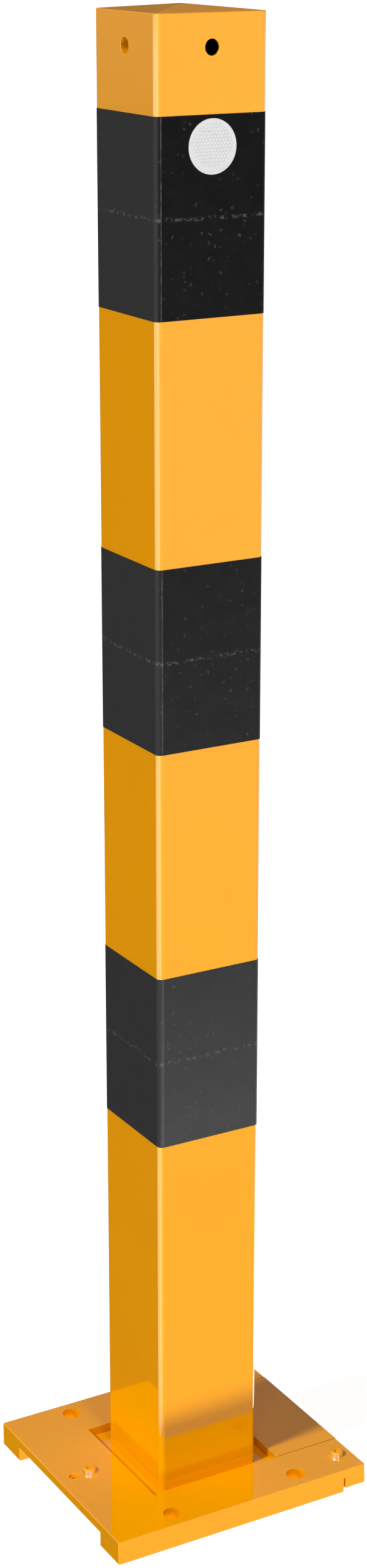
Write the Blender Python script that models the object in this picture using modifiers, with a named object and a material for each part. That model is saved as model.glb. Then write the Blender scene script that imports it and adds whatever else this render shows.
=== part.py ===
"""Steel safety bollard: a square striped post on a base that lets it be exchanged.

Metres, +Z up. The origin is on the ground under the centre of the base. The front
is -Y. The post and its foot plate slide out of the base towards +X, behind the
closing piece, once the three clamp screws are loose.
"""

import math

import bmesh
import bpy

# Clearances
GAP = 0.0003                 # between pieces that touch or are welded
SEAM = 0.0004                # beside the tongue in its slot

# Base
BASE_LENGTH = 0.180          # along X
BASE_WIDTH = 0.160           # along Y
BASE_HEIGHT = 0.016
PLATE_THICKNESS = 0.006      # the roof over the channel
RAIL_WIDTH = 0.024           # each side of the channel
RAIL_END = 0.074             # X where the rails stop, short of the closing bar
WINDOW = 0.090               # opening in the roof, around the post
BASE_EDGE = 0.0006           # bevel
ANCHOR_X = 0.045
ANCHOR_Y = 0.068
ANCHOR_RADIUS = 0.006

# Post
POST_SIZE = 0.070
POST_WALL = 0.003
POST_CORNER = 0.0035         # outer corner radius
POST_TOP = 0.9134            # upper edge of the four faces
CAP_RISE = 0.0033            # from that edge to the point of the cap
CAP_EDGE = 0.0005            # height of the cap's rim
CAP_SKIRT_DEPTH = 0.012      # how far the cap reaches into the tube
CAP_SKIRT_WALL = 0.003
CHAIN_HOLE_Z = 0.8952
CHAIN_HOLE_RADIUS = 0.0045

# Foot plate, in the channel
FOOT_LEFT = -0.075
FOOT_RIGHT = 0.072
FOOT_THICKNESS = 0.006
WELD_RADIUS = 0.0014

# Closing piece
BAR_LEFT = 0.0753
BAR_BOTTOM = 0.0025
CLOSING_WELD_LEG = 0.0025

# Dark films on the post
BAND_HEIGHT = 0.110
BAND_BOTTOMS = {"band_lower": 0.250, "band_middle": 0.500, "band_upper": 0.750}
FILM_GAP = 0.00015
FILM_THICKNESS = 0.00025
REFLECTOR_RADIUS = 0.015
REFLECTOR_THICKNESS = 0.0004
REFLECTOR_Z = 0.843

# M5 low head clamp screws and their nuts
SCREW_PLACES = {"left": (-0.068, 0.0), "front": (0.080, -0.062), "back": (0.080, 0.062)}
SCREW_RADIUS = 0.0025
SCREW_LENGTH = 0.012
HEAD_RADIUS = 0.00425
HEAD_HEIGHT = 0.0028
HEAD_CHAMFER = 0.0004
HEAD_SOCKET = 0.004          # across flats
HEAD_SOCKET_DEPTH = 0.0016
SCREW_HOLE_RADIUS = 0.0028
NUT_WIDTH = 0.008            # across flats
NUT_THICKNESS = 0.0027
NUT_BORE_RADIUS = 0.0026
NUT_TOP = 0.0068
FORK_RADIUS = 0.0029         # half the width of the open slots around the shanks

# M6 set screw beside the left clamp screw
STOP_X = -0.079
STOP_RADIUS = 0.003
STOP_TOP = 0.0146
STOP_TIP = 0.0005
STOP_CHAMFER = 0.001
STOP_SOCKET = 0.003          # across flats
STOP_SOCKET_DEPTH = 0.003
STOP_HOLE_RADIUS = 0.0032

# Derived
CHANNEL_HEIGHT = BASE_HEIGHT - PLATE_THICKNESS
CHANNEL_HALF = BASE_WIDTH / 2 - RAIL_WIDTH
POST_HALF = POST_SIZE / 2
FOOT_TOP = CHANNEL_HEIGHT - GAP
FOOT_BOTTOM = FOOT_TOP - FOOT_THICKNESS
TUBE_BOTTOM = FOOT_BOTTOM + GAP
TUBE_TOP = POST_TOP - CAP_EDGE - GAP
POCKET_TOP = NUT_TOP + GAP
POCKET_HALF = NUT_WIDTH / 2 + GAP
NUT_CORNER = NUT_WIDTH / math.sqrt(3)
CUT = 0.005                  # how far a cutter runs past a face

ROUND = 40                   # sides of a round piece
CORNER_STEPS = 8             # sides of one rounded corner of the post

YELLOW = (0.93, 0.36, 0.01)
BLACK = (0.012, 0.012, 0.013)
WHITE = (0.80, 0.80, 0.78)
ZINC = (0.55, 0.56, 0.58)


def clear_scene():
    for obj in list(bpy.data.objects):
        bpy.data.objects.remove(obj)


def new_collection(name):
    collection = bpy.data.collections.new(name)
    bpy.context.scene.collection.children.link(collection)
    return collection


def new_material(name, color, roughness, metallic):
    material = bpy.data.materials.new(name)
    material.use_nodes = True
    shader = material.node_tree.nodes["Principled BSDF"]
    shader.inputs["Base Color"].default_value = (*color, 1.0)
    shader.inputs["Roughness"].default_value = roughness
    shader.inputs["Metallic"].default_value = metallic
    return material


def add_object(name, mesh, location=(0, 0, 0), rotation=(0, 0, 0)):
    obj = bpy.data.objects.new(name, mesh)
    obj.location = location
    obj.rotation_euler = rotation
    return obj


def place(obj, collection, material, parent=None):
    """Files a finished piece in its collection, with a material of its own."""
    collection.objects.link(obj)
    own = material.copy()
    own.name = obj.name + "_" + material.name
    obj.data.materials.clear()
    obj.data.materials.append(own)
    if parent:
        obj.parent = parent
        obj.location -= parent.location
    return obj


def carrier(name, location, collection):
    """An empty on the axis of a moving group, which carries its pieces."""
    empty = bpy.data.objects.new(name, None)
    empty.empty_display_size = 0.02
    empty.location = location
    collection.objects.link(empty)
    return empty


def box(name, low, high):
    size = [b - a for a, b in zip(low, high)]
    centre = [(a + b) / 2 for a, b in zip(low, high)]
    mesh = bpy.data.meshes.new(name)
    bm = bmesh.new()
    bmesh.ops.create_cube(bm, size=1.0)
    bmesh.ops.scale(bm, vec=size, verts=bm.verts)
    bm.to_mesh(mesh)
    bm.free()
    return add_object(name, mesh, centre)


def cylinder(name, radius, low, high, axis="Z", sides=ROUND, turn=0.0):
    """A round or many sided bar from the point low to the point high, along axis."""
    length = sum(b - a for a, b in zip(low, high))
    centre = [(a + b) / 2 for a, b in zip(low, high)]
    mesh = bpy.data.meshes.new(name)
    bm = bmesh.new()
    bmesh.ops.create_cone(
        bm, cap_ends=True, segments=sides, radius1=radius, radius2=radius, depth=length
    )
    bm.to_mesh(mesh)
    bm.free()
    rotation = {"X": (0, math.pi / 2, 0), "Y": (math.pi / 2, 0, 0), "Z": (0, 0, turn)}[axis]
    return add_object(name, mesh, centre, rotation)


def rounded_square(half, radius):
    """Points of a square outline with round corners, anticlockwise."""
    points = []
    for quarter, (x, y) in enumerate([(1, 1), (-1, 1), (-1, -1), (1, -1)]):
        for step in range(CORNER_STEPS + 1):
            angle = math.pi / 2 * (quarter + step / CORNER_STEPS)
            points.append(
                (
                    x * (half - radius) + radius * math.cos(angle),
                    y * (half - radius) + radius * math.sin(angle),
                )
            )
    return points


def outline_curve(name, outlines):
    curve = bpy.data.curves.new(name, "CURVE")
    for points in outlines:
        spline = curve.splines.new("POLY")
        spline.points.add(len(points) - 1)
        for point, (x, y) in zip(spline.points, points):
            point.co = (x, y, 0, 1)
        spline.use_cyclic_u = True
    return curve


def meshed(name, curve, location):
    """The closed mesh of a curve, as an object of its own."""
    guide = bpy.data.objects.new(name, curve)
    bpy.context.scene.collection.objects.link(guide)
    bpy.context.view_layer.update()
    evaluated = guide.evaluated_get(bpy.context.evaluated_depsgraph_get())
    mesh = bpy.data.meshes.new_from_object(evaluated)
    mesh.name = name
    bpy.data.objects.remove(guide)
    bpy.data.curves.remove(curve)
    bm = bmesh.new()
    bm.from_mesh(mesh)
    bmesh.ops.remove_doubles(bm, verts=bm.verts, dist=1e-6)
    bm.to_mesh(mesh)
    bm.free()
    return add_object(name, mesh, location)


def prism(name, outlines, bottom, top):
    """A flat outline, with holes if more than one is given, made solid along Z."""
    curve = outline_curve(name, outlines)
    curve.dimensions = "2D"
    curve.fill_mode = "BOTH"
    curve.extrude = (top - bottom) / 2
    return meshed(name, curve, (0, 0, (top + bottom) / 2))


def turned(name, profile, location, rotation=(0, 0, 0)):
    """A solid of revolution: the profile is (radius, height) from top to bottom."""
    mesh = bpy.data.meshes.new(name)
    bm = bmesh.new()
    verts = [bm.verts.new((radius, 0, height)) for radius, height in profile]
    for above, below in zip(verts, verts[1:]):
        bm.edges.new((above, below))
    bm.to_mesh(mesh)
    bm.free()
    obj = add_object(name, mesh, location, rotation)
    screw = obj.modifiers.new("turn", "SCREW")
    screw.steps = ROUND
    screw.render_steps = ROUND
    screw.use_merge_vertices = True
    screw.merge_threshold = 1e-5
    screw.use_smooth_shade = False
    return obj


def bevel(obj, width, segments=2):
    modifier = obj.modifiers.new("edge", "BEVEL")
    modifier.width = width
    modifier.segments = segments
    modifier.limit_method = "ANGLE"
    modifier.angle_limit = math.radians(40)


def combine(obj, cutters, tool, operation="DIFFERENCE"):
    """Adds a Boolean with a hidden tool, which stays editable in the cutters."""
    cutters.objects.link(tool)
    tool.hide_render = True
    tool.display_type = "WIRE"
    modifier = obj.modifiers.new(operation.lower(), "BOOLEAN")
    modifier.operation = operation
    modifier.solver = "EXACT"
    modifier.object = tool


def shade_round(obj):
    obj.data.shade_smooth()
    obj.data.set_sharp_from_angle(angle=math.radians(35))


def make_base_plate(cutters):
    """Plate with a channel milled along its underside and a U-shaped roof."""
    half_length = BASE_LENGTH / 2
    half_width = BASE_WIDTH / 2
    base = box("base_plate", (-half_length, -half_width, 0), (half_length, half_width, BASE_HEIGHT))
    bevel(base, BASE_EDGE)
    right = half_length + CUT
    side = half_width + CUT
    above = BASE_HEIGHT + CUT
    channel = box(
        "cut_channel", (-right, -CHANNEL_HALF, -CUT), (right, CHANNEL_HALF, CHANNEL_HEIGHT)
    )
    rail_ends = box("cut_rail_ends", (RAIL_END, -side, -CUT), (right, side, CHANNEL_HEIGHT))
    window = box("cut_window", (-WINDOW / 2, -WINDOW / 2, 0), (right, WINDOW / 2, above))
    for tool in (channel, rail_ends, window):
        combine(base, cutters, tool)
    for x in (-ANCHOR_X, ANCHOR_X):
        for y in (-ANCHOR_Y, ANCHOR_Y):
            tool = cylinder("cut_anchor", ANCHOR_RADIUS, (x, y, -CUT), (x, y, above))
            combine(base, cutters, tool)
    for side_name, (x, y) in SCREW_PLACES.items():
        tool = cylinder(
            f"cut_{side_name}_screw_hole", SCREW_HOLE_RADIUS, (x, y, CUT), (x, y, above)
        )
        combine(base, cutters, tool)
    tool = cylinder("cut_stop_hole", STOP_HOLE_RADIUS, (STOP_X, 0, CUT), (STOP_X, 0, above))
    combine(base, cutters, tool)
    return base


def cut_fork(plate, cutters, name, place_xy, mouth):
    """An open slot around a clamp screw's shank, with a pocket below for its nut."""
    x, y = place_xy
    top = BASE_HEIGHT
    slot = box(
        f"cut_{name}_slot", (mouth - CUT, y - FORK_RADIUS, -CUT), (x, y + FORK_RADIUS, top)
    )
    end = cylinder(f"cut_{name}_slot_end", FORK_RADIUS, (x, y, -CUT), (x, y, top))
    pocket = box(
        f"cut_{name}_nut_pocket",
        (mouth - CUT, y - POCKET_HALF, -CUT),
        (x + NUT_CORNER + GAP, y + POCKET_HALF, POCKET_TOP),
    )
    for tool in (slot, end, pocket):
        combine(plate, cutters, tool)


def make_foot_plate(cutters):
    """The post's foot: it fills the channel, and the tube stands in its square hole."""
    half_width = CHANNEL_HALF - GAP
    foot = box(
        "foot_plate", (FOOT_LEFT, -half_width, FOOT_BOTTOM), (FOOT_RIGHT, half_width, FOOT_TOP)
    )
    hole = rounded_square(POST_HALF + GAP, POST_CORNER + GAP)
    combine(foot, cutters, prism("cut_tube_seat", [hole], -CUT, BASE_HEIGHT))
    cut_fork(foot, cutters, "foot", SCREW_PLACES["left"], FOOT_LEFT)
    return foot


def make_post_tube(cutters):
    inner = POST_HALF - POST_WALL
    outlines = [
        rounded_square(POST_HALF, POST_CORNER),
        rounded_square(inner, POST_CORNER - POST_WALL),
    ]
    tube = prism("post_tube", outlines, TUBE_BOTTOM, TUBE_TOP)
    reach = POST_HALF + CUT
    z = CHAIN_HOLE_Z
    for axis, low, high in (
        ("X", (-reach, 0, z), (reach, 0, z)),
        ("Y", (0, -reach, z), (0, reach, z)),
    ):
        tool = cylinder(f"cut_chain_hole_{axis}", CHAIN_HOLE_RADIUS, low, high, axis)
        combine(tube, cutters, tool)
    shade_round(tube)
    return tube


def make_foot_weld():
    """Weld bead around the tube's lower end, under the foot plate."""
    middle = POST_HALF - POST_WALL / 2
    curve = outline_curve("foot_weld", [rounded_square(middle, POST_CORNER - POST_WALL / 2)])
    curve.dimensions = "3D"
    curve.bevel_depth = WELD_RADIUS
    curve.bevel_resolution = 2
    weld = meshed("foot_weld", curve, (0, 0, FOOT_BOTTOM - GAP - WELD_RADIUS))
    shade_round(weld)
    return weld


def make_post_cap(cutters):
    """Low four sided roof with a skirt that plugs into the tube."""
    rim = POST_TOP - CAP_EDGE
    slope = CAP_RISE / POST_HALF
    wide = POST_HALF + CUT
    height = slope * wide + 2 * CAP_EDGE
    apex = POST_TOP + CAP_RISE
    mesh = bpy.data.meshes.new("post_cap")
    bm = bmesh.new()
    bmesh.ops.create_cone(
        bm,
        cap_ends=True,
        segments=4,
        radius1=height / slope * math.sqrt(2),
        radius2=0,
        depth=height,
    )
    bm.to_mesh(mesh)
    bm.free()
    cap = add_object("post_cap", mesh, (0, 0, apex - height / 2), (0, 0, math.pi / 4))
    outline = rounded_square(POST_HALF, POST_CORNER)
    combine(cap, cutters, prism("keep_cap_outline", [outline], rim, apex + CUT), "INTERSECT")
    outer = POST_HALF - POST_WALL - GAP
    inner = outer - CAP_SKIRT_WALL
    skirt = prism(
        "add_cap_skirt",
        [rounded_square(outer, POST_CORNER - POST_WALL), rounded_square(inner, CAP_EDGE)],
        TUBE_TOP - CAP_SKIRT_DEPTH,
        POST_TOP,
    )
    combine(cap, cutters, skirt, "UNION")
    return cap


def make_band(name, bottom):
    """Dark film wrapped once around the post."""
    inner = POST_HALF + FILM_GAP
    outer = inner + FILM_THICKNESS
    outlines = [
        rounded_square(outer, POST_CORNER + outer - POST_HALF),
        rounded_square(inner, POST_CORNER + inner - POST_HALF),
    ]
    band = prism(name, outlines, bottom, bottom + BAND_HEIGHT)
    shade_round(band)
    return band


def make_reflector():
    """Plain round reflector on the front of the upper band, with its edge thinned."""
    rim = REFLECTOR_RADIUS - REFLECTOR_THICKNESS
    profile = [
        (0, REFLECTOR_THICKNESS),
        (rim, REFLECTOR_THICKNESS),
        (REFLECTOR_RADIUS, REFLECTOR_THICKNESS / 2),
        (REFLECTOR_RADIUS, 0),
        (0, 0),
    ]
    back = -(POST_HALF + FILM_GAP + FILM_THICKNESS + FILM_GAP)
    reflector = turned("reflector", profile, (0, back, REFLECTOR_Z), (math.pi / 2, 0, 0))
    shade_round(reflector)
    return reflector


def make_closing_tongue():
    """Fills the roof's slot beside the post, flush with its top."""
    half = WINDOW / 2
    tongue = box(
        "closing_tongue",
        (half, -half + SEAM, CHANNEL_HEIGHT),
        (BASE_LENGTH / 2, half - SEAM, BASE_HEIGHT),
    )
    bevel(tongue, GAP, 1)
    return tongue


def make_closing_bar(cutters):
    """Bar under the roof's right end, which shuts the channel."""
    half = BASE_WIDTH / 2
    bar = box("closing_bar", (BAR_LEFT, -half, BAR_BOTTOM), (BASE_LENGTH / 2, half, FOOT_TOP))
    bevel(bar, GAP, 1)
    for name in ("front", "back"):
        cut_fork(bar, cutters, name, SCREW_PLACES[name], BAR_LEFT)
    return bar


def make_closing_weld():
    """Fillet weld in the corner between the tongue and the bar."""
    half = WINDOW / 2 - SEAM - CLOSING_WELD_LEG
    right = BAR_LEFT - GAP
    top = CHANNEL_HEIGHT - GAP
    corner = [(0, 0), (0, -CLOSING_WELD_LEG), (-CLOSING_WELD_LEG, 0)]
    curve = outline_curve("closing_weld", [corner])
    curve.dimensions = "2D"
    curve.fill_mode = "BOTH"
    curve.extrude = half
    weld = meshed("closing_weld", curve, (right, 0, top))
    weld.rotation_euler = (math.pi / 2, 0, 0)
    return weld


def make_clamp_screw(side_name, cutters):
    """M5 screw with a low round head and a hexagon socket, its origin under the head."""
    x, y = SCREW_PLACES[side_name]
    seat = BASE_HEIGHT + GAP
    tip = -SCREW_LENGTH
    profile = [
        (0, HEAD_HEIGHT),
        (HEAD_RADIUS - HEAD_CHAMFER, HEAD_HEIGHT),
        (HEAD_RADIUS, HEAD_HEIGHT - HEAD_CHAMFER),
        (HEAD_RADIUS, 0),
        (SCREW_RADIUS, 0),
        (SCREW_RADIUS, tip + HEAD_CHAMFER),
        (SCREW_RADIUS - HEAD_CHAMFER, tip),
        (0, tip),
    ]
    screw = turned(f"{side_name}_screw", profile, (x, y, seat))
    top = seat + HEAD_HEIGHT
    socket = cylinder(
        f"cut_{side_name}_socket",
        HEAD_SOCKET / math.sqrt(3),
        (x, y, top - HEAD_SOCKET_DEPTH),
        (x, y, top + CUT),
        sides=6,
    )
    combine(screw, cutters, socket)
    shade_round(screw)
    return screw


def make_nut(side_name, cutters):
    """Thin M5 hexagon nut, two of its flats along the pocket."""
    x, y = SCREW_PLACES[side_name]
    low = (x, y, NUT_TOP - NUT_THICKNESS)
    nut = cylinder(f"{side_name}_nut", NUT_CORNER, low, (x, y, NUT_TOP), sides=6, turn=math.pi / 2)
    bevel(nut, GAP, 1)
    bore = cylinder(f"cut_{side_name}_nut_bore", NUT_BORE_RADIUS, (x, y, -CUT), (x, y, BASE_HEIGHT))
    combine(nut, cutters, bore)
    return nut


def make_stop_screw(cutters):
    """M6 set screw with a chamfered point, its origin at its top."""
    length = STOP_TOP - STOP_TIP
    profile = [
        (0, 0),
        (STOP_RADIUS - STOP_CHAMFER / 2, 0),
        (STOP_RADIUS, -STOP_CHAMFER / 2),
        (STOP_RADIUS, STOP_CHAMFER - length),
        (STOP_RADIUS - STOP_CHAMFER, -length),
        (0, -length),
    ]
    screw = turned("stop_screw", profile, (STOP_X, 0, STOP_TOP))
    socket = cylinder(
        "cut_stop_socket",
        STOP_SOCKET / math.sqrt(3),
        (STOP_X, 0, STOP_TOP - STOP_SOCKET_DEPTH),
        (STOP_X, 0, STOP_TOP + CUT),
        sides=6,
    )
    combine(screw, cutters, socket)
    shade_round(screw)
    return screw


def main():
    clear_scene()
    parts = new_collection("steel_safety_bollard")
    cutters = new_collection("cutters")
    coat = new_material("yellow_coat", YELLOW, 0.18, 0.0)
    film = new_material("black_film", BLACK, 0.35, 0.0)
    sheet = new_material("white_reflective", WHITE, 0.3, 0.0)
    zinc = new_material("zinc", ZINC, 0.4, 1.0)

    place(make_base_plate(cutters), parts, coat)
    for side_name in SCREW_PLACES:
        place(make_nut(side_name, cutters), parts, zinc)

    post = carrier("post_carrier", (0, 0, FOOT_TOP), parts)
    place(make_foot_plate(cutters), parts, coat, post)
    place(make_foot_weld(), parts, coat, post)
    place(make_post_tube(cutters), parts, coat, post)
    place(make_post_cap(cutters), parts, coat, post)
    for name, bottom in BAND_BOTTOMS.items():
        place(make_band(name, bottom), parts, film, post)
    place(make_reflector(), parts, sheet, post)

    closing = carrier("closing_carrier", (BAR_LEFT, 0, FOOT_TOP), parts)
    place(make_closing_tongue(), parts, coat, closing)
    place(make_closing_bar(cutters), parts, coat, closing)
    place(make_closing_weld(), parts, coat, closing)

    for side_name in SCREW_PLACES:
        place(make_clamp_screw(side_name, cutters), parts, coat)
    place(make_stop_screw(cutters), parts, zinc)
    bpy.context.view_layer.update()


main()
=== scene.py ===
"""Looks of the steel safety bollard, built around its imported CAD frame.

Metres, in the row frame: +Z up, the front of the post is -Y, the post slides out
towards +X. Every mesh is made in row coordinates with its object at the origin, so
object texture coordinates are metres on the part.
"""

import math

import bmesh
import bpy
from mathutils import Matrix, Vector


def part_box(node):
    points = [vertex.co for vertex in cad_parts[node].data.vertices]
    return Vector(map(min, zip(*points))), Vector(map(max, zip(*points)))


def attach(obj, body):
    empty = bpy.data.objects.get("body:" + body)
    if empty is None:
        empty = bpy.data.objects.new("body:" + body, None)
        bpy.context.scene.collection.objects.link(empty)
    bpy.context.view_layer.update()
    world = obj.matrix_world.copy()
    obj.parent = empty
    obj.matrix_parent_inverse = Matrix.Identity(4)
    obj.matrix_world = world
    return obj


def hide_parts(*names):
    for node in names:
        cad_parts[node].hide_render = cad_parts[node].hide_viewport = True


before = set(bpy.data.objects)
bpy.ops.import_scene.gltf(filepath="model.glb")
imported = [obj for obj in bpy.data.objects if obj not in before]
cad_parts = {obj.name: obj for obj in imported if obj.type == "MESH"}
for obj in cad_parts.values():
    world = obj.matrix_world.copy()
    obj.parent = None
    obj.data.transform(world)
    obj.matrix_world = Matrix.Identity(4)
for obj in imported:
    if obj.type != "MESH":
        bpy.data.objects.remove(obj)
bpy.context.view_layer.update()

# ---------------------------------------------------------------- units and settings
MM = 0.001
FAR = 0.2                     # well past the base on every side, for cutters
SKIN = 0.1 * MM               # slack when faces are chosen by their place
SLIGHT = 2e-5                 # two coordinates this close are the same
FLAT = math.radians(0.05)     # faces this close in angle are one face
MERGE = 2e-6                  # points this close are one point
BEVEL_STEPS = 3
NORMAL_WEIGHT = 80            # large faces set the shading beside an edge
ROUND_STEPS = 6               # steps in a rounded rim
SCREW_SIDES = 40
HOLE_SIDES = 72
ANCHOR_SIDES = 96
HEXAGON = 6


# ---------------------------------------------------------------- places and sizes, as in the CAD
BASE_LOW, BASE_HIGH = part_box("base_plate")
TUBE_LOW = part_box("post_tube")[0]
CAP_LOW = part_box("post_cap")[0]
FOOT_LOW, FOOT_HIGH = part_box("foot_plate")
TONGUE_LOW, TONGUE_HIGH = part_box("closing_tongue")
BAR_LOW, BAR_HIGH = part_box("closing_bar")
REFLECTOR_LOW, REFLECTOR_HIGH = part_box("reflector")

PLATE_UNDERSIDE = 10 * MM
RAIL_INSIDE = 56 * MM
RAIL_END = 74 * MM
WINDOW = 45 * MM
ANCHOR_X = 45 * MM
ANCHOR_Y = 68 * MM
ANCHOR_RADIUS = 6 * MM
SCREW_HOLE_RADIUS = 2.8 * MM
STOP_HOLE_RADIUS = 3.2 * MM
STOP_X = -79 * MM
SCREWS = {"left": (-68 * MM, 0.0), "front": (80 * MM, -62 * MM), "back": (80 * MM, 62 * MM)}

POST_HALF = 35 * MM
POST_WALL = 3 * MM
POST_CORNER = 3.5 * MM
SEAM_Z = 912.9 * MM           # where the cap sits on the tube
RIM_Z = 913.4 * MM            # upper edge of the four faces
APEX_Z = 916.7 * MM
CHAIN_HOLE_Z = 895.2 * MM
CHAIN_HOLE_RADIUS = 4.5 * MM
# where a film's lap starts, is at its full height, begins to slope off, and ends
LAP_X = (0.016, 0.0159, 0.004, 0.001)

FORK_HALF = 2.9 * MM          # half the slot around a screw
POCKET_HALF = 4.3 * MM        # half the recess around a nut
POCKET_REACH = 4.92 * MM      # its depth past the screw
POCKET_TOP = 7.1 * MM
OVERRUN = 5 * MM              # how far a slot's cutter starts outside


# ---------------------------------------------------------------- mesh helpers
def object_from(bm, name):
    mesh = bpy.data.meshes.new(name)
    bmesh.ops.recalc_face_normals(bm, faces=bm.faces)
    bm.to_mesh(mesh)
    bm.free()
    obj = bpy.data.objects.new(name, mesh)
    bpy.context.scene.collection.objects.link(obj)
    return obj


def box(name, low, high):
    bm = bmesh.new()
    bmesh.ops.create_cube(bm, size=1.0)
    bmesh.ops.scale(bm, vec=[b - a for a, b in zip(low, high)], verts=bm.verts)
    bmesh.ops.translate(bm, vec=[(a + b) / 2 for a, b in zip(low, high)], verts=bm.verts)
    return object_from(bm, name)


def circle(radius, z, centre=(0.0, 0.0), sides=64, turn=0.0):
    return [
        Vector(
            (
                centre[0] + radius * math.cos(turn + math.tau * i / sides),
                centre[1] + radius * math.sin(turn + math.tau * i / sides),
                z,
            )
        )
        for i in range(sides)
    ]


def rounded_square(half, radius, z, steps=16):
    """Points of a square outline with round corners, anticlockwise from +X."""
    points = []
    for quarter, (x, y) in enumerate([(1, 1), (-1, 1), (-1, -1), (1, -1)]):
        for step in range(steps + 1):
            angle = math.pi / 2 * (quarter + step / steps)
            points.append(
                Vector(
                    (
                        x * (half - radius) + radius * math.cos(angle),
                        y * (half - radius) + radius * math.sin(angle),
                        z,
                    )
                )
            )
    return points


def loft(name, rings, loop=False, matrix=None):
    """Skins equal rings of points, closed at both ends, or ring shaped if loop."""
    bm = bmesh.new()
    rows = [[bm.verts.new(point) for point in ring] for ring in rings]
    pairs = list(zip(rows, rows[1:]))
    if loop:
        pairs.append((rows[-1], rows[0]))
    for lower, upper in pairs:
        for i in range(len(lower)):
            j = (i + 1) % len(lower)
            bm.faces.new((lower[i], lower[j], upper[j], upper[i]))
    if not loop:
        bm.faces.new(rows[0])
        bm.faces.new(rows[-1])
    if matrix is not None:
        bmesh.ops.transform(bm, matrix=matrix, verts=bm.verts)
    return object_from(bm, name)


def bar(name, radius, low, high, centre=(0.0, 0.0), sides=64, turn=0.0):
    return loft(name, [circle(radius, z, centre, sides, turn) for z in (low, high)])


def baked(obj):
    """Applies every modifier of obj."""
    depsgraph = bpy.context.evaluated_depsgraph_get()
    mesh = bpy.data.meshes.new_from_object(obj.evaluated_get(depsgraph))
    obj.modifiers.clear()
    old = obj.data
    obj.data = mesh
    mesh.name = obj.name
    bpy.data.meshes.remove(old)
    return obj


def combine(obj, tools, operation="DIFFERENCE"):
    for tool in tools:
        modifier = obj.modifiers.new("combine", "BOOLEAN")
        modifier.operation = operation
        modifier.solver = "EXACT"
        modifier.object = tool
    baked(obj)
    for tool in tools:
        bpy.data.objects.remove(tool)
    return obj


def soften(obj, width, share=None, sharp=28):
    """Rounds the edges sharper than sharp degrees. share(a, b) scales the width."""
    bm = bmesh.new()
    bm.from_mesh(obj.data)
    bmesh.ops.remove_doubles(bm, verts=bm.verts, dist=MERGE)
    bmesh.ops.dissolve_limit(
        bm, angle_limit=FLAT, verts=bm.verts, edges=bm.edges
    )
    weight = bm.edges.layers.float.get("bevel_weight_edge") or bm.edges.layers.float.new(
        "bevel_weight_edge"
    )
    for edge in bm.edges:
        if len(edge.link_faces) == 2 and edge.calc_face_angle() > math.radians(sharp):
            edge[weight] = share(*(v.co for v in edge.verts)) if share else 1.0
    bm.to_mesh(obj.data)
    bm.free()
    modifier = obj.modifiers.new("edge", "BEVEL")
    modifier.width = width
    modifier.segments = BEVEL_STEPS
    modifier.limit_method = "WEIGHT"
    modifier.use_clamp_overlap = True
    modifier.harden_normals = True
    obj.data.shade_smooth()
    baked(obj)
    return smooth(obj, sharp)


def smooth(obj, sharp=30):
    obj.data.shade_smooth()
    obj.data.set_sharp_from_angle(angle=math.radians(sharp))
    weighted = obj.modifiers.new("normals", "WEIGHTED_NORMAL")
    weighted.keep_sharp = True
    weighted.weight = NORMAL_WEIGHT
    return baked(obj)


def finished(obj, body, material, slot, *nodes):
    """Rides the piece on its body, in its material, in place of its CAD nodes."""
    obj.data.materials.clear()
    obj.data.materials.append(material)
    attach(obj, body)
    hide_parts(*nodes)
    return obj


def repaint(obj, material, chosen):
    """Gives material to the faces of obj whose centres are chosen."""
    obj.data.materials.append(material)
    index = len(obj.data.materials) - 1
    for face in obj.data.polygons:
        if chosen(face.center):
            face.material_index = index
    return obj


# ---------------------------------------------------------------- node helpers
class Tree:
    """Short calls for building one node tree."""

    def __init__(self, tree):
        self.tree = tree

    def node(self, kind, inputs=None, **settings):
        made = self.tree.nodes.new(kind)
        for key, value in settings.items():
            setattr(made, key, value)
        for key, value in (inputs or {}).items():
            self.put(made.inputs[key], value)
        return made

    def put(self, socket, value):
        if isinstance(value, bpy.types.NodeSocket):
            self.tree.links.new(value, socket)
        else:
            socket.default_value = value

    def math(self, operation, *values):
        made = self.node("ShaderNodeMath", operation=operation)
        for socket, value in zip(made.inputs, values):
            self.put(socket, value)
        return made.outputs[0]

    def dot(self, vector, other):
        made = self.node("ShaderNodeVectorMath", operation="DOT_PRODUCT")
        self.put(made.inputs[0], vector)
        self.put(made.inputs[1], other)
        return made.outputs["Value"]

    def ramp(self, value, low, high, to_low=0.0, to_high=1.0):
        made = self.node("ShaderNodeMapRange", interpolation_type="SMOOTHSTEP")
        for key, number in (
            ("Value", value),
            ("From Min", low),
            ("From Max", high),
            ("To Min", to_low),
            ("To Max", to_high),
        ):
            self.put(made.inputs[key], number)
        return made.outputs["Result"]

    def noise(self, vector, scale, detail=2.0, roughness=0.5):
        made = self.node(
            "ShaderNodeTexNoise",
            {"Vector": vector, "Scale": scale, "Detail": detail, "Roughness": roughness},
        )
        return made.outputs["Fac"]

    def cells(self, vector, scale):
        return self.node("ShaderNodeTexVoronoi", {"Vector": vector, "Scale": scale}, feature="F1")

    def bump(self, shader, height, strength, distance):
        """Roughens shader by height, at most distance metres deep."""
        made = self.node(
            "ShaderNodeBump", {"Strength": strength, "Distance": distance, "Height": height}
        )
        self.put(shader.inputs["Normal"], made.outputs["Normal"])

    def blend(self, factor, low, high):
        made = self.node("ShaderNodeMix", data_type="FLOAT")
        self.put(made.inputs[0], factor)
        self.put(made.inputs[2], low)
        self.put(made.inputs[3], high)
        return made.outputs[0]

    def mix(self, factor, low, high):
        made = self.node("ShaderNodeMix", data_type="RGBA")
        self.put(made.inputs[0], factor)
        self.put(made.inputs[6], low)
        self.put(made.inputs[7], high)
        return made.outputs[2]


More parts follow.
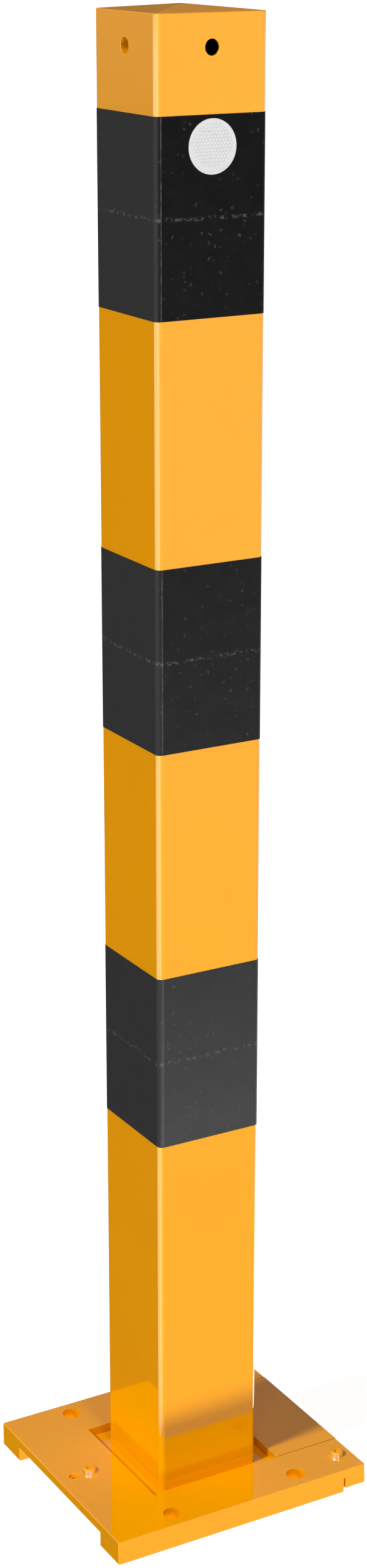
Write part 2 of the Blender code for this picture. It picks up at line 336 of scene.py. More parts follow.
def new_material(name):
    material = bpy.data.materials.new(name)
    material.use_nodes = True
    tree = Tree(material.node_tree)
    shader = material.node_tree.nodes["Principled BSDF"]
    place = tree.node("ShaderNodeTexCoord").outputs["Object"]
    return material, tree, shader, place


# ---------------------------------------------------------------- materials
def make_coat(name, dark, light):
    """Glossy yellow powder coat: a little orange peel, cloudiness and dust nibs."""
    nib_scale = 260.0
    nib_share = 0.96                  # only cells above this carry a nib
    material, t, shader, place = new_material(name)
    clouds = t.noise(place, 14.0, 3.0)
    grain = t.noise(place, 1400.0, 2.0)
    shade = t.math("ADD", t.ramp(clouds, 0.3, 0.7, 0.0, 0.7), t.ramp(grain, 0.3, 0.7, 0.0, 0.3))
    color = t.mix(shade, dark, light)
    t.put(shader.inputs["Base Color"], color)
    t.put(shader.inputs["Roughness"], t.ramp(clouds, 0.3, 0.7, 0.008, 0.02))
    shader.inputs["IOR"].default_value = 2.8
    peel = t.noise(place, 420.0, 1.5)
    nibs = t.cells(place, nib_scale)
    nib = t.ramp(nibs.outputs["Distance"], 0.0, 0.14, 1.0, 0.0)
    chosen = t.math("GREATER_THAN", t.dot(nibs.outputs["Color"], (1.0, 0.0, 0.0)), nib_share)
    height = t.math("ADD", t.math("MULTIPLY", peel, 0.6), t.math("MULTIPLY", nib, chosen))
    t.bump(shader, height, 0.1, 0.00001)
    return material


def make_film():
    """Black self adhesive film: satin, with light specks, a scuffed line across each band,
    and a lighter dotted line down the two left corners. Its front has a painted sheen, lighter
    towards the floor."""
    speck_scale = 260.0
    speck_bend = 0.0035
    band_pitch = 0.25
    scuff_height = 0.055              # above a whole number of band pitches
    sheen_height = 0.26                # where the painted sheen on the front is full
    sheen_fall = 0.202                 # height over which the painted sheen falls to 1 / e
    side_tone = 0.6
    black = (0.001, 0.001, 0.001, 1.0)
    # grey that gives the sides their own tone and the front its painted sheen
    tone_and_sheen_grey = (0.043, 0.043, 0.044, 1.0)
    scratched = (0.16, 0.16, 0.16, 1.0)

    material, t, shader, place = new_material("black_film")
    xyz = t.node("ShaderNodeSeparateXYZ", {"Vector": place})
    z = xyz.outputs["Z"]
    bent = t.node("ShaderNodeTexNoise", {"Vector": place, "Scale": 700.0, "Detail": 2.0})
    shift = t.node("ShaderNodeVectorMath", operation="SCALE")
    t.put(shift.inputs[0], bent.outputs["Color"])
    shift.inputs["Scale"].default_value = speck_bend
    moved = t.node("ShaderNodeVectorMath", operation="ADD")
    t.put(moved.inputs[0], place)
    t.put(moved.inputs[1], shift.outputs[0])
    cells = t.cells(moved.outputs[0], speck_scale)
    spot = t.ramp(cells.outputs["Distance"], 0.0, 0.34, 0.26, 0.0)
    rare = t.ramp(t.dot(cells.outputs["Color"], (1.0, 0.0, 0.0)), 0.45, 1.0)
    patch = t.ramp(t.noise(place, 34.0, 2.0), 0.28, 0.58, 0.35, 1.0)
    specks = t.math("MULTIPLY", t.math("MULTIPLY", spot, rare), patch)
    fine = t.noise(place, 2600.0, 3.0, 0.7)
    dust = t.ramp(fine, 0.66, 0.9)
    waver = t.math("MULTIPLY", t.math("SUBTRACT", t.noise(place, 55.0, 2.0), 0.5), 0.0045)
    level = t.math("MODULO", t.math("ADD", z, waver), band_pitch)
    off = t.math("ABSOLUTE", t.math("SUBTRACT", level, scuff_height))
    line = t.ramp(off, 0.0002, 0.0018, 0.38, 0.0)
    broken = t.ramp(t.noise(place, 340.0, 3.0, 0.6), 0.46, 0.66)
    scuff = t.math("MULTIPLY", line, broken)
    marks = t.math("MAXIMUM", t.math("MAXIMUM", specks, scuff), t.math("MULTIPLY", dust, 0.35))
    facing = t.node("ShaderNodeTexCoord").outputs["Normal"]
    # painted sheen: film facing the front is lighter towards the floor, standing in for the
    # highlight of a low front light
    front = t.ramp(t.dot(facing, (0.0, -1.0, 0.0)), 0.6, 0.9)
    above = t.math("SUBTRACT", z, sheen_height)
    low = t.math("POWER", math.e, t.math("MULTIPLY", above, -1 / sheen_fall))
    # a lighter dotted line down the two left corners
    leftward = t.dot(facing, (-1.0, 0.0, 0.0))
    edge = t.math(
        "MULTIPLY", t.ramp(leftward, 0.03, 0.12), t.ramp(leftward, 0.20, 0.32, 1.0, 0.0)
    )
    dotted = t.ramp(t.noise(place, 260.0, 3.0, 0.6), 0.40, 0.70, 0.3, 1.4)
    corner_line = t.math("MULTIPLY", edge, dotted)
    # sides keep their own grey tone, the front carries the painted sheen, and the lighter corner
    # line adds on top
    tone_sheen_and_line = t.math("ADD", t.blend(front, side_tone, low), t.math("MULTIPLY", corner_line, 1.4))
    film = t.mix(tone_sheen_and_line, black, tone_and_sheen_grey)
    color = t.mix(marks, film, scratched)
    t.put(shader.inputs["Base Color"], color)
    t.put(shader.inputs["Roughness"], t.ramp(t.noise(place, 90.0, 3.0), 0.3, 0.7, 0.38, 0.46))
    shader.inputs["IOR"].default_value = 1.27
    t.bump(shader, t.math("ADD", fine, marks), 0.2, 0.00005)
    return material


def make_sheet():
    """White retroreflective sheeting: small cells between slightly greyer walls."""
    material, t, shader, place = new_material("reflective_sheet")
    grain = t.noise(place, 2200.0, 2.0)
    clouds = t.noise(place, 120.0, 2.0)
    cells = t.cells(place, 900.0)
    shade = t.math(
        "ADD",
        t.math("MULTIPLY", cells.outputs["Distance"], 0.35),
        t.math("MULTIPLY", t.math("ADD", grain, clouds), 0.25),
    )
    color = t.mix(shade, (0.64, 0.64, 0.63, 1.0), (0.50, 0.51, 0.52, 1.0))
    t.put(shader.inputs["Base Color"], color)
    t.put(shader.inputs["Roughness"], t.ramp(clouds, 0.3, 0.7, 0.22, 0.34))
    t.bump(shader, cells.outputs["Distance"], 0.25, 0.00004)
    return material


def make_metal(name, dark, light):
    """Bare or plated steel with fine turning marks and cloudy patches."""
    material, t, shader, place = new_material(name)
    clouds = t.noise(place, 300.0, 3.0)
    t.put(shader.inputs["Base Color"], t.mix(clouds, dark, light))
    shader.inputs["Metallic"].default_value = 1.0
    t.put(shader.inputs["Roughness"], t.ramp(clouds, 0.3, 0.7, 0.24, 0.42))
    stretched = t.node("ShaderNodeMapping", {"Vector": place, "Scale": (1.0, 1.0, 12.0)})
    marks = t.noise(stretched.outputs["Vector"], 900.0, 2.0)
    t.bump(shader, marks, 0.3, 0.00003)
    return material


COAT = make_coat("yellow_coat", (0.945, 0.375, 0.0, 1.0), (0.975, 0.395, 0.0, 1.0))
SLOT_SHADE_COAT = make_coat("slot_shade_coat", (0.70, 0.27, 0.0, 1.0), (0.76, 0.29, 0.0, 1.0))      # darker coat, painted shade on the slot walls
BORE_SHADE_COAT = make_coat("bore_shade_coat", (0.82, 0.32, 0.0, 1.0), (0.88, 0.34, 0.0, 1.0))      # darker coat, painted shade in the anchor holes
# near black finish, painted shade inside the tube and deep in its front and back chain holes
INSIDE_SHADE = make_metal("painted_dark_inside", (0.012, 0.011, 0.010, 1.0), (0.020, 0.018, 0.016, 1.0))
FILM = make_film()
SHEET = make_sheet()
ZINC = make_metal("zinc_steel", (0.50, 0.52, 0.56, 1.0), (0.68, 0.67, 0.62, 1.0))
BARE = make_metal("bare_flank", (0.86, 0.84, 0.82, 1.0), (0.95, 0.94, 0.92, 1.0))


# ---------------------------------------------------------------- base
def at(value, *targets):
    """Whether value is one of targets."""
    return any(abs(value - target) < SLIGHT for target in targets)


def near_anchor(point):
    """Whether a point is at one of the four anchor holes."""
    beside = math.hypot(abs(point.x) - ANCHOR_X, abs(point.y) - ANCHOR_Y)
    return beside < ANCHOR_RADIUS + SKIN


def make_base():
    anchor_share = 0.08
    inner_share = 0.2
    base = box("base_plate_body", BASE_LOW, BASE_HIGH)
    tools = [
        box("t", (-FAR, -RAIL_INSIDE, -FAR), (FAR, RAIL_INSIDE, PLATE_UNDERSIDE)),
        box("t", (RAIL_END, -FAR, -FAR), (FAR, FAR, PLATE_UNDERSIDE)),
        box("t", (-WINDOW, -WINDOW, -FAR), (FAR, WINDOW, FAR)),
        bar("t", STOP_HOLE_RADIUS, 0, FAR, (STOP_X, 0)),
    ]
    for x in (-ANCHOR_X, ANCHOR_X):
        for y in (-ANCHOR_Y, ANCHOR_Y):
            tools.append(bar("t", ANCHOR_RADIUS, -FAR, FAR, (x, y), ANCHOR_SIDES))
    for place in SCREWS.values():
        tools.append(bar("t", SCREW_HOLE_RADIUS, 0, FAR, place))
    combine(base, tools)

    def share(a, b):
        """Full on the outer edges, none where the closing bar meets the arms."""
        outside = sum(
            (
                at(a.x, BASE_LOW.x, BASE_HIGH.x) and at(b.x, a.x),
                at(a.y, BASE_LOW.y, BASE_HIGH.y) and at(b.y, a.y),
                at(a.z, 0, BASE_HIGH.z) and at(b.z, a.z),
            )
        )
        if outside >= 2:
            return 1.0
        under_arm = at(a.z, PLATE_UNDERSIDE) and at(b.z, PLATE_UNDERSIDE)
        if under_arm and outside == 1 and min(a.x, b.x) > RAIL_END - MM:
            return 0.0
        return anchor_share if near_anchor(a) else inner_share

    soften(base, 0.8 * MM, share)
    finished(base, "base", COAT, "yellow_coat", "base_plate")

    def window_wall(centre):
        across = abs(centre.y) < WINDOW + SKIN and centre.x > -WINDOW - SKIN
        return across and centre.z < BASE_HIGH.z - SKIN

    def bore_wall(centre):
        return near_anchor(centre) and centre.z < BASE_HIGH.z - SKIN

    # painted shade: the walls of the window around the post get the darker coat
    repaint(base, SLOT_SHADE_COAT, window_wall)
    # painted shade: the anchor holes' walls get the darker coat
    return repaint(base, BORE_SHADE_COAT, bore_wall)


make_base()


# ---------------------------------------------------------------- closing piece
def fork_tools(place, mouth):
    """Cutters of the slot, open at mouth, that lets a plate pass a screw and its nut."""
    x, y = place
    return [
        box("t", (mouth - OVERRUN, y - FORK_HALF, -FAR), (x, y + FORK_HALF, FAR)),
        bar("t", FORK_HALF, -FAR, FAR, place, 48),
        box(
            "t",
            (mouth - OVERRUN, y - POCKET_HALF, -FAR),
            (x + POCKET_REACH, y + POCKET_HALF, POCKET_TOP),
        ),
    ]


def make_closing():
    slit = 0.15 * MM
    gap = Vector((0, slit, 0))
    tongue = box("closing_tongue_body", TONGUE_LOW + gap, TONGUE_HIGH - gap)
    soften(tongue, slit)
    finished(tongue, "closing_piece", COAT, "yellow_coat", "closing_tongue")

    def tongue_side(centre):
        at_end = centre.x < TONGUE_LOW.x + SKIN
        at_side = abs(centre.y) > TONGUE_HIGH.y - slit - SKIN
        return centre.z < TONGUE_HIGH.z - SKIN and (at_end or at_side)

    # painted shade: the tongue's end and sides in the slot get the darker coat
    repaint(tongue, SLOT_SHADE_COAT, tongue_side)

    top = PLATE_UNDERSIDE - 0.02 * MM
    bar_body = box("closing_bar_body", BAR_LOW, (BAR_HIGH.x, BAR_HIGH.y, top))
    for side in ("front", "back"):
        combine(bar_body, fork_tools(SCREWS[side], BAR_LOW.x))

    def share(a, b):
        level = at(a.z, top) and at(b.z, top)
        at_side = at(a.y, BAR_LOW.y, BAR_HIGH.y) and at(b.y, a.y)
        return 0.0 if level and at_side else 1.0

    soften(bar_body, 0.35 * MM, share)
    finished(bar_body, "closing_piece", COAT, "yellow_coat", "closing_bar")

    low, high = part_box("closing_weld")
    rings = []
    steps = 150
    arc_steps = 8
    ripple_pitch = 1.3 * MM
    leg = high.x - low.x
    for i in range(steps + 1):
        y = low.y + (high.y - low.y) * i / steps
        ripple = 1 - 0.10 * abs(math.sin(math.pi * (y - low.y) / ripple_pitch))
        end = min(1.0, 6 * min(i, steps - i) / steps + 0.35)
        size = leg * ripple * end
        ring = [Vector((high.x, y, high.z))]
        for j in range(arc_steps + 1):
            angle = math.pi / 2 * j / arc_steps
            radius = size * (0.80 + 0.20 * abs(math.cos(2 * angle)))
            ring.append(
                Vector(
                    (
                        high.x - radius * math.sin(angle),
                        y,
                        high.z - radius * math.cos(angle),
                    )
                )
            )
        rings.append(ring)
    weld = loft("closing_weld_bead", rings)
    smooth(weld, 50)
    finished(weld, "closing_piece", COAT, "yellow_coat", "closing_weld")


make_closing()


# ---------------------------------------------------------------- post
def make_foot():
    top = PLATE_UNDERSIDE - 0.05 * MM
    foot = box("foot_plate_body", FOOT_LOW, (FOOT_HIGH.x, FOOT_HIGH.y, top))
    reach = 0.1
    seat = rounded_square(POST_HALF + 0.05 * MM, POST_CORNER, -reach)
    above = [point + Vector((0, 0, 2 * reach)) for point in seat]
    combine(foot, [loft("t", [seat, above])])
    combine(foot, fork_tools(SCREWS["left"], FOOT_LOW.x))
    soften(foot, 0.35 * MM)
    return finished(foot, "post", COAT, "yellow_coat", "foot_plate")


def make_tube():
    """The tube, with short collars behind its left and right chain holes."""
    inner = POST_HALF - POST_WALL
    edge = 0.4 * MM
    collar_radius = 5.6 * MM
    collar_end = 28.4 * MM
    around_hole = 5 * MM
    bottom = TUBE_LOW.z
    rings = [
        rounded_square(inner + edge, POST_CORNER - POST_WALL + edge, bottom),
        rounded_square(POST_HALF - edge, POST_CORNER - edge, bottom),
        rounded_square(POST_HALF - edge * 0.3, POST_CORNER - edge * 0.3, bottom + edge * 0.3),
        rounded_square(POST_HALF, POST_CORNER, bottom + edge),
        rounded_square(POST_HALF, POST_CORNER, SEAM_Z),
        rounded_square(inner, POST_CORNER - POST_WALL, SEAM_Z),
        rounded_square(inner, POST_CORNER - POST_WALL, bottom + edge),
    ]
    tube = loft("post_tube_body", rings, loop=True)
    turn_x = Matrix.Translation((0, 0, CHAIN_HOLE_Z)) @ Matrix.Rotation(math.pi / 2, 4, "Y")
    turn_y = Matrix.Translation((0, 0, CHAIN_HOLE_Z)) @ Matrix.Rotation(math.pi / 2, 4, "X")
    reach = 0.06
    ends = [circle(CHAIN_HOLE_RADIUS, z, sides=HOLE_SIDES) for z in (-reach, reach)]
    collars = []
    spread = (collar_end, inner + 0.5 * MM)
    for sign in (-1, 1):
        collar = [circle(collar_radius, sign * z, sides=HOLE_SIDES) for z in spread]
        collars.append(loft("t", collar, matrix=turn_x))
    combine(tube, collars, "UNION")
    combine(tube, [loft("t", ends, matrix=turn_x), loft("t", ends, matrix=turn_y)])

    def share(a, b):
        near = all(
            math.hypot(min(abs(v.x), abs(v.y)), v.z - CHAIN_HOLE_Z) < around_hole
            for v in (a, b)
        )
        return 1.0 if near and max(abs(a.x), abs(a.y)) > inner + MM else 0.0

    soften(tube, 0.2 * MM, share)
    coated = POST_HALF - 1.3 * MM         # how far in the coat reaches into a hole
    bm = bmesh.new()
    bm.from_mesh(tube.data)

    def in_bore(face, sign):
        centre = face.calc_center_median()
        through = inner < sign * centre.y < POST_HALF and abs(face.normal.y) < 0.1
        return through and math.hypot(centre.x, centre.z - CHAIN_HOLE_Z) < around_hole

    for sign in (-1, 1):
        bore = [face for face in bm.faces if in_bore(face, sign)]
        around = {v for face in bore for v in face.verts}
        edges = {e for face in bore for e in face.edges}
        bmesh.ops.bisect_plane(
            bm,
            geom=bore + list(edges) + list(around),
            plane_co=(0, sign * coated, 0),
            plane_no=(0, 1, 0),
        )
    bm.to_mesh(tube.data)
    bm.free()
    smooth(tube, 28)
    finished(tube, "post", COAT, "yellow_coat", "post_tube")

    # painted shade: faces inside the tube, other than the collars, get the near black finish
    def shade_inside_faces(centre):
        beside = math.hypot(centre.y, centre.z - CHAIN_HOLE_Z)
        collar = beside < collar_radius + 0.4 * MM and abs(centre.x) > collar_end - 0.4 * MM
        inside = max(abs(centre.x), abs(centre.y)) < coated and centre.z > 20 * MM
        return inside and not collar

    return repaint(tube, INSIDE_SHADE, shade_inside_faces)


def make_cap():
    slope = (APEX_Z - RIM_Z) / POST_HALF

    def roofed(half, radius, drop=0.0):
        return [
            Vector((p.x, p.y, APEX_Z - slope * max(abs(p.x), abs(p.y)) - drop))
            for p in rounded_square(half, radius, 0)
        ]

    edge = 0.8 * MM
    flatness = 0.6                        # the rim's rounding is lower than wide
    inner = POST_HALF - POST_WALL - 0.3 * MM
    hollow = inner - 3 * MM
    skirt = CAP_LOW.z
    rings = [
        rounded_square(hollow, 0.5 * MM, SEAM_Z),
        rounded_square(hollow, 0.5 * MM, skirt),
        rounded_square(inner, 2 * MM, skirt),
        rounded_square(inner, 2 * MM, SEAM_Z),
        rounded_square(POST_HALF, POST_CORNER, SEAM_Z),
    ]
    for i in range(1, ROUND_STEPS + 1):
        angle = math.pi / 2 * i / ROUND_STEPS
        back = edge * (1 - math.cos(angle))
        rings.append(
            roofed(POST_HALF - back, POST_CORNER - back, edge * flatness * (1 - math.sin(angle)))
        )
    for share in (0.75, 0.5, 0.25, 0.02):
        half = POST_HALF * share
        rings.append(roofed(half, POST_CORNER * share))
    cap = loft("post_cap_body", rings)
    smooth(cap, 20)
    return finished(cap, "post", COAT, "yellow_coat", "post_cap")


def make_foot_weld():
    """A rippled bead around the lower end of the tube."""
    low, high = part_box("foot_weld")
    radius = (high.z - low.z) / 2
    middle = (high.z + low.z) / 2
    step = 0.45 * MM
    ripple_pitch = 1.5 * MM
    sides = 12
    up = Vector((0, 0, 1))
    path = rounded_square((high.x - low.x) / 2 - radius, POST_CORNER, middle, 10)
    fine = []
    for i, point in enumerate(path):
        following = path[(i + 1) % len(path)]
        count = max(1, round((following - point).length / step))
        fine += [point.lerp(following, k / count) for k in range(count)]
    rings = []
    travelled = 0.0
    for i, point in enumerate(fine):
        ahead = fine[(i + 1) % len(fine)]
        along = (ahead - fine[i - 1]).normalized()
        outward = along.cross(up)
        ripple = 1 - 0.12 * abs(math.sin(math.pi * travelled / ripple_pitch))
        travelled += (ahead - point).length
        rings.append(
            [
                point
                + radius
                * ripple
                * (
                    outward * math.cos(math.tau * j / sides)
                    + up * math.sin(math.tau * j / sides)
                )
                for j in range(sides)
            ]
        )
    weld = loft("foot_weld_bead", rings, loop=True)
    smooth(weld, 60)
    return finished(weld, "post", COAT, "yellow_coat", "foot_weld")


def make_band(node):
    """Film wrapped once around the post, its end lapped over its start at the back."""
    low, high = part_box(node)
    inner = POST_HALF + 0.02 * MM
    thickness = 0.2 * MM
    lap = 0.12 * MM
    edge = 0.06 * MM

    def ring(offset, z):
        points = rounded_square(inner + offset, POST_CORNER + offset, z)
        lapped = []
        for i, point in enumerate(points):
            lapped.append(point)
            following = points[(i + 1) % len(points)]
            if point.y > 0 and following.y > 0 and point.x > 0.02 and following.x < -0.02:
                y = point.y
                raised = y + (lap if offset > edge * 1.5 else 0)
                lapped += [Vector((x, depth, z)) for x, depth in zip(LAP_X, (y, raised, raised, y))]
        return lapped

    rings = [
        ring(0, low.z),
        ring(thickness - edge, low.z),
        ring(thickness, low.z + edge),
        ring(thickness, high.z - edge),
        ring(thickness - edge, high.z),
        ring(0, high.z),
    ]
    band = loft(node + "_film", rings, loop=True)
    smooth(band, 25)
    return finished(band, "post", FILM, "black_film", node)


def make_reflector():
    """Round sheeting: a smooth sealed rim around a field of low hexagonal cells."""
    centre = (REFLECTOR_LOW + REFLECTOR_HIGH) / 2
    radius = (REFLECTOR_HIGH.x - REFLECTOR_LOW.x) / 2
    back = -(POST_HALF + 0.21 * MM)
    front = REFLECTOR_LOW.y
    depth = back - front
    profile = [
        (radius - 0.1 * MM, 0.0),
        (radius, 0.05 * MM),
        (radius, depth * 0.55),
        (radius - 0.15 * MM, depth * 0.8),
        (radius - 0.5 * MM, depth * 0.86),
        (radius - 1.3 * MM, depth * 0.86),
        (radius - 1.45 * MM, depth * 0.62),
        (0.1 * MM, depth * 0.62),
    ]
    rings = [
        [
            Vector((centre.x + p.x, back - height, centre.z + p.y))
            for p in circle(size, 0, sides=96)
        ]
        for size, height in profile
    ]
    disc = loft("t", rings)
    bm = bmesh.new()
    bm.from_mesh(disc.data)
    pitch = 2.1 * MM
    for row in range(-9, 10):
        for column in range(-9, 10):
            x = (column + 0.5 * (row % 2)) * pitch
            z = row * pitch * math.sqrt(3) / 2
            if math.hypot(x, z) > radius - 2.6 * MM:
                continue
            ground = []
            top = []
            for i in range(6):
                angle = math.pi / 6 + math.pi / 3 * i
                for ring, size, height in (
                    (ground, 0.53, 0.55),
                    (top, 0.49, 0.86),
                ):
                    ring.append(
                        bm.verts.new(
                            (
                                centre.x + x + size * pitch * math.cos(angle),
                                back - depth * height,
                                centre.z + z + size * pitch * math.sin(angle),
                            )
                        )
                    )
            for i in range(6):
                j = (i + 1) % 6
                bm.faces.new((ground[i], ground[j], top[j], top[i]))
            bm.faces.new(top)
            bm.faces.new(list(reversed(ground)))
    bpy.data.objects.remove(disc)
    reflector = object_from(bm, "reflector_disc")
    smooth(reflector, 25)
    return finished(reflector, "post", SHEET, "reflective_sheet", "reflector")


make_foot()
make_tube()
make_cap()
make_foot_weld()
for band_node in ("band_lower", "band_middle", "band_upper"):
    make_band(band_node)
make_reflector()


# ---------------------------------------------------------------- screws and nuts
def thread_rings(centre, major, pitch, bottom, top):
    """Rings of a threaded length, from bottom to top, fading out at both ends."""
    rings_per_turn = 8
    lead = 0.6 * pitch
    depth = 0.61 * pitch
    count = max(2, round((top - bottom) / pitch * rings_per_turn))
    rings = []
    for i in range(count + 1):
        z = bottom + (top - bottom) * i / count
        fade = min(1.0, (z - bottom) / lead, (top - z) / lead)
        ring = []
        for j in range(SCREW_SIDES):
            turn = (z / pitch - j / SCREW_SIDES) % 1.0
            groove = min(1.0, max(0.0, 1.5 - abs(turn - 0.5) * 4.0))
            radius = major - depth * groove * max(0.0, fade)
            angle = math.tau * j / SCREW_SIDES
            x = centre[0] + radius * math.cos(angle)
            y = centre[1] + radius * math.sin(angle)
            ring.append(Vector((x, y, z)))
        rings.append(ring)
    return rings


def turned(place, *profile):
    """Rings around place, from pairs of a radius and a height."""
    return [circle(radius, z, place, SCREW_SIDES) for radius, z in profile]


def make_clamp_screw(side):
    """M5 low head screw: bare thread and flank, coated top, key socket with a drilled point."""
    place = SCREWS[side]
    low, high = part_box(side + "_screw")
    top = high.z
    head = (high.x - low.x) / 2
    seat = top - 2.8 * MM - 0.25 * MM
    shank = 2.5 * MM
    edge = 1.1 * MM
    rings = turned(place, (1.4 * MM, low.z), (1.9 * MM, low.z + 0.1 * MM))
    rings += thread_rings(place, shank, 0.8 * MM, low.z + 0.6 * MM, seat - 0.9 * MM)
    rings += turned(
        place,
        (shank, seat - 0.2 * MM),
        (shank + 0.15 * MM, seat),
        (head - 0.35 * MM, seat),
        (head - 0.08 * MM, seat + 0.1 * MM),
        (head, seat + 0.4 * MM),
    )
    for i in range(ROUND_STEPS + 1):
        angle = math.pi / 2 * i / ROUND_STEPS
        across, down = edge * (1 - math.cos(angle)), edge * (1 - math.sin(angle))
        rings += turned(place, (head - across, top - down))
    rings += turned(place, (2.75 * MM, top - 0.04 * MM), (2.35 * MM, top - 0.25 * MM))
    screw = loft(side + "_screw_body", rings)
    key = 4.0 * MM / math.sqrt(3)
    key_turn = math.pi / 7
    socket = bar("t", key, top - 1.75 * MM, top + MM, place, HEXAGON, key_turn)
    point = loft(
        "t",
        [
            circle(0.2 * MM, top - 2.3 * MM, place, HEXAGON, key_turn),
            circle(key, top - 1.7 * MM, place, HEXAGON, key_turn),
        ],
    )
    combine(screw, [socket, point])
    smooth(screw, 38)
    finished(screw, side + "_clamp_screw", COAT, "yellow_coat", side + "_screw")

    def bare(centre):
        beside = math.hypot(centre.x - place[0], centre.y - place[1]) > 2.9 * MM
        return centre.z < top - edge and (beside or centre.z < seat)

    return repaint(screw, BARE, bare)


def make_stop_screw():
    """M6 set screw: bare thread, coated top and key socket."""
    place = (STOP_X, 0.0)
    low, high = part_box("stop_screw")
    radius = 3.0 * MM
    rings = turned(
        place,
        (1.2 * MM, low.z),
        (1.9 * MM, low.z + 0.25 * MM),
        (2.45 * MM, low.z + 1.1 * MM),
    )
    rings += thread_rings(place, radius, 1.0 * MM, low.z + 1.6 * MM, high.z - 0.7 * MM)
    rings += turned(
        place,
        (radius - 0.1 * MM, high.z - 0.5 * MM),
        (radius - 0.55 * MM, high.z - 0.06 * MM),
        (radius - 0.7 * MM, high.z),
        (1.85 * MM, high.z),
    )
    screw = loft("stop_screw_body", rings)
    key = 3.0 * MM / math.sqrt(3)
    socket = bar("t", key, high.z - 3.0 * MM, high.z + MM, place, HEXAGON, math.pi / 5)
    combine(screw, [socket])
    smooth(screw, 38)
    finished(screw, "set_screw", BARE, "zinc_steel", "stop_screw")

    def painted(centre):
        beside = math.hypot(centre.x - place[0], centre.y - place[1])
        return centre.z > high.z - 0.8 * MM or (beside < 1.8 * MM and centre.z > low.z + MM)

    return repaint(screw, COAT, painted)


def make_nut(side):
    """Thin M5 nut, chamfered on both faces."""
    place = SCREWS[side]
    node = side + "_nut"
    low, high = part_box(node)
    corner = 8 * MM / math.sqrt(3)
    nut = bar(node + "_body", corner, low.z, high.z, place, HEXAGON, math.pi / 6 + math.pi / 3)
    ease = 0.42 * MM
    aside = 0.03      # turns the chamfer's points off the nut's, as the boolean needs
    profile = (
        (corner - 0.75 * MM, low.z),
        (corner + 0.02 * MM, low.z + ease),
        (corner + 0.02 * MM, high.z - ease),
        (corner - 0.75 * MM, high.z),
    )
    chamfer = loft("t", [circle(radius, z, place, turn=aside) for radius, z in profile])
    combine(nut, [chamfer], "INTERSECT")
    rings = turned(place, (3.0 * MM, low.z - 0.1 * MM), (2.6 * MM, low.z + 0.3 * MM))
    rings += thread_rings(place, 2.62 * MM, 0.8 * MM, low.z + 0.35 * MM, high.z - 0.35 * MM)
    rings += turned(place, (2.6 * MM, high.z - 0.3 * MM), (3.0 * MM, high.z + 0.1 * MM))
    combine(nut, [loft("t", rings)])
    smooth(nut, 35)
    return finished(nut, "base", ZINC, "zinc_steel", node)


for side_name in SCREWS:
    make_clamp_screw(side_name)
    make_nut(side_name)
make_stop_screw()


# ---------------------------------------------------------------- stage
def make_floor():
    """Pale floor that glows by itself and lights nothing."""
    radius = 90.0
    clearance = 0.0002
    bm = bmesh.new()
    bmesh.ops.create_circle(bm, cap_ends=True, segments=96, radius=radius)
    floor = object_from(bm, "floor")
    floor.location.z = -clearance
    material, t, shader, place = new_material("pale_floor")
    shader.inputs["Base Color"].default_value = (0.4, 0.4, 0.4, 1.0)
    shader.inputs["Roughness"].default_value = 0.9
    shader.inputs["Specular IOR Level"].default_value = 0.0
    shader.inputs["Emission Color"].default_value = (1.0, 1.0, 1.0, 1.0)
    glow = t.ramp(t.noise(place, 3.0), 0.3, 0.7, 0.86, 0.865)
    t.put(shader.inputs["Emission Strength"], glow)
    floor.data.materials.append(material)
    floor.visible_shadow = False
    floor.visible_diffuse = False
    floor.visible_glossy = False


# name, azimuth and elevation in degrees, strength, size in degrees, seen in reflections
SUNS = (
    ("key", -84, 45, 0.80, 8.0, True),
    ("under", 0, -46, 1.06, 13.0, True),
    ("side", -40, 8, 0.18, 10.0, True),
    ("front", -2, 45, 0.29, 14.0, True),
    ("fill", 135, -12, 0.58, 40.0, False),
    ("rear", 165, -12, 0.50, 40.0, False),
)


def sun(name, azimuth, elevation, strength, size, glossy):
    """A far light, size degrees wide. Azimuth 0 is in front, at -Y, and 90 on the right, at +X.
    If not glossy, it leaves no highlight."""
    data = bpy.data.lights.new(name, "SUN")
    data.energy = strength * math.pi
    data.angle = math.radians(size)
    light = bpy.data.objects.new(name, data)
    bpy.context.scene.collection.objects.link(light)
    a, e = math.radians(azimuth), math.radians(elevation)
    towards = Vector((math.sin(a) * math.cos(e), -math.cos(a) * math.cos(e), math.sin(e)))
    light.rotation_mode = "QUATERNION"
    light.rotation_quaternion = towards.to_track_quat("Z", "Y")
    light.visible_glossy = glossy
    return light


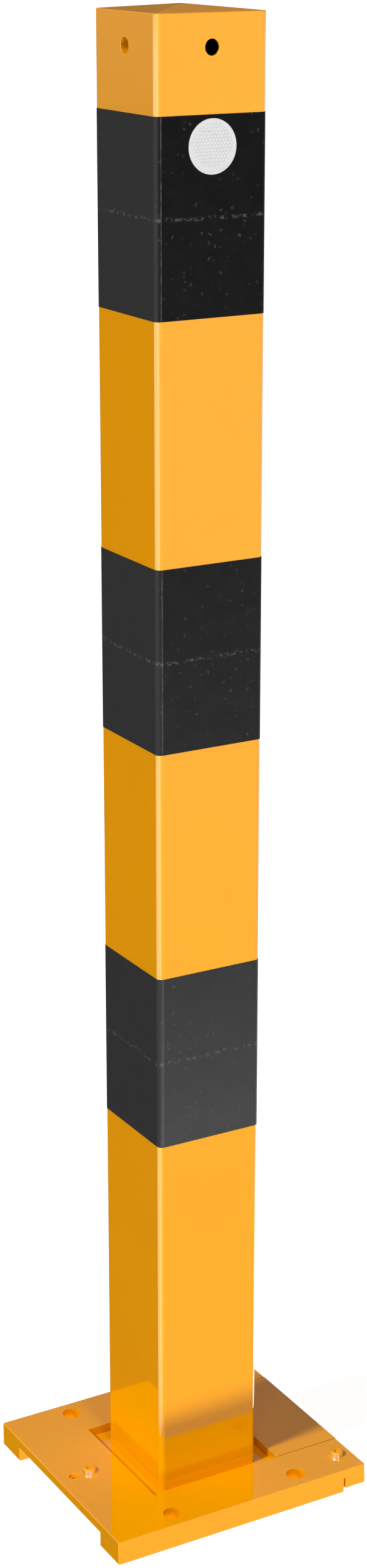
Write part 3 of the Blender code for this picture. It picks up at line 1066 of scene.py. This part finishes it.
def make_world():
    """White to the camera. Reflections see the floor, the sky and two panels of a studio,
    and diffuse light has a soft fill of its own."""
    front_way = (0.5, -0.866, 0.0)
    left_way = (-0.998, -0.06, 0.0)
    right_way = (0.94, 0.34, 0.0)
    panel_strength = 0.8
    world = bpy.data.worlds.new("studio")
    bpy.context.scene.world = world
    world.use_nodes = True
    world.node_tree.nodes.clear()
    t = Tree(world.node_tree)
    way = t.node("ShaderNodeTexCoord").outputs["Generated"]
    up = t.dot(way, (0.0, 0.0, 1.0))
    ambient = t.math("ADD", t.dot(way, (-0.13, -0.14, -0.16)), 0.15)
    ambient = t.math("MAXIMUM", ambient, 0.02)

    ahead = t.ramp(t.dot(way, front_way), -0.1, 0.3)
    front = t.ramp(up, -0.50, -0.18, 0.14, 0.23)
    behind = t.ramp(up, -0.15, -0.05, 0.015, 0.17)
    sky = t.ramp(up, 0.0, 0.5, 0.045, 0.16)
    above = t.ramp(up, -0.04, 0.04)
    below = t.blend(ahead, behind, front)
    around = t.blend(above, below, sky)
    left_level = t.math(
        "MULTIPLY", t.ramp(up, -0.56, -0.50), t.ramp(up, -0.07, -0.03, 1.0, 0.0)
    )
    left_side = t.ramp(t.dot(way, left_way), 0.53, 0.64)
    left = t.math("MULTIPLY", t.math("MULTIPLY", left_level, left_side), panel_strength)
    right_side = t.ramp(t.dot(way, right_way), 0.66, 0.76)
    right_level = t.ramp(up, -0.50, -0.38, 3.0, 0.4)
    lower = t.ramp(up, -0.07, -0.03, 1.0, 0.0)
    right = t.math("MULTIPLY", t.math("MULTIPLY", right_side, right_level), lower)
    glossy = t.math("ADD", around, t.math("ADD", left, right))

    ray = t.node("ShaderNodeLightPath")
    seen = ray.outputs["Is Glossy Ray"]
    first = t.math("LESS_THAN", ray.outputs["Glossy Depth"], 1.5)
    glossy = t.math("MULTIPLY", glossy, first)
    light = t.math(
        "ADD",
        t.math("MULTIPLY", ambient, t.math("SUBTRACT", 1.0, seen)),
        t.math("MULTIPLY", glossy, seen),
    )
    camera = ray.outputs["Is Camera Ray"]
    strength = t.math(
        "ADD", t.math("MULTIPLY", light, t.math("SUBTRACT", 1.0, camera)), camera
    )
    background = t.node(
        "ShaderNodeBackground", {"Color": (1.0, 1.0, 1.0, 1.0), "Strength": strength}
    )
    output = t.node("ShaderNodeOutputWorld")
    t.put(output.inputs["Surface"], background.outputs["Background"])


def make_camera():
    """The camera at the photograph's angle, in front and to the left, looking down a little."""
    turn = math.radians(29.81)
    tilt = math.radians(-18.94)
    data = bpy.data.cameras.new("camera")
    camera = bpy.data.objects.new("camera", data)
    bpy.context.scene.collection.objects.link(camera)
    camera.location = (-0.7841, -1.3776, 0.9919)
    level = math.cos(tilt)
    ahead = Vector((math.sin(turn) * level, math.cos(turn) * level, math.sin(tilt)))
    camera.rotation_mode = "QUATERNION"
    camera.rotation_quaternion = ahead.to_track_quat("-Z", "Y")
    data.sensor_width = 36.0
    data.sensor_fit = "AUTO"
    data.lens = 64.08
    data.shift_x = -0.0032
    data.shift_y = 0.0197
    data.clip_start = 0.01
    data.clip_end = 500.0
    bpy.context.scene.camera = camera


make_floor()
for name, azimuth, elevation, strength, size, glossy in SUNS:
    sun(name, azimuth, elevation, strength, size, glossy)
make_world()
make_camera()
bpy.context.scene.view_settings.view_transform = "Standard"
bpy.context.scene.view_settings.look = "None"
